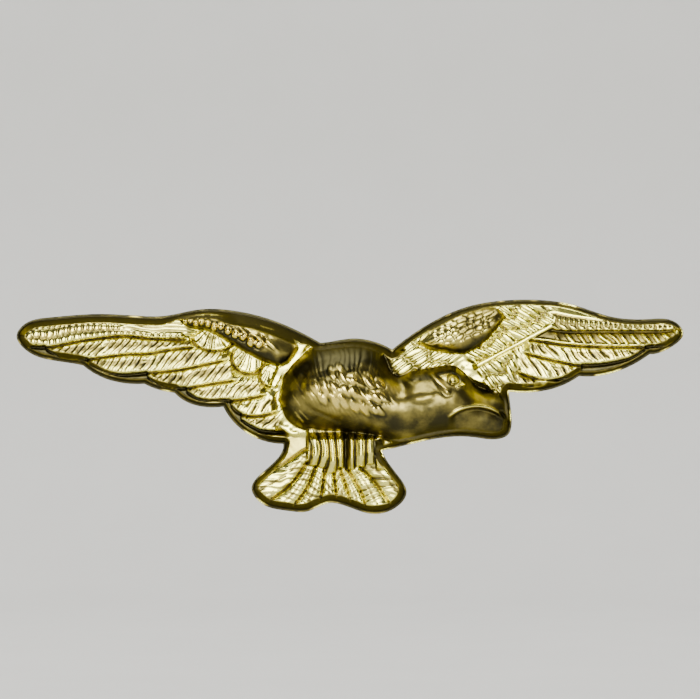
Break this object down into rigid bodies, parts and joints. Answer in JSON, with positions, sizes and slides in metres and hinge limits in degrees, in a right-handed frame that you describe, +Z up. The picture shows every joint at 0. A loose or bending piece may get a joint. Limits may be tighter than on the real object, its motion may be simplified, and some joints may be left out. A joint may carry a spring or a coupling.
{
  "type": "cap badge",
  "caption": "Spread-eagle cap badge struck from sheet brass, hollow at the back, held on by wire lugs and a split pin.",
  "frame": {"origin": "midway between the two lugs, on the plane of the trimmed rim that lies against the cap", "axes": "+Z up as worn, the eagle faces -Y, +X to the right of someone facing the badge, along the wings"},
  "size_m": [0.06, 0.0123, 0.0193],
  "materials": {
    "gilt_brass": "worn gilt, darker where it is raised and in its grooves",
    "copper_wire": "tarnished drawn wire",
    "braze": "rough, heat-stained",
    "pin_brass": "dull drawn brass"
  },
  "bodies": {
    "badge": {"eagle_shell": "gilt_brass", "lug_left": "copper_wire", "lug_right": "copper_wire", "braze_left": "braze", "braze_right": "braze"},
    "pin": {"split_pin": "pin_brass"}
  },
  "joints": [
    {"name": "pin_withdraw", "type": "slide", "parent": "badge", "child": "pin", "axis": [1, 0, 0], "range_m": [0, 0.032]}
  ]
}
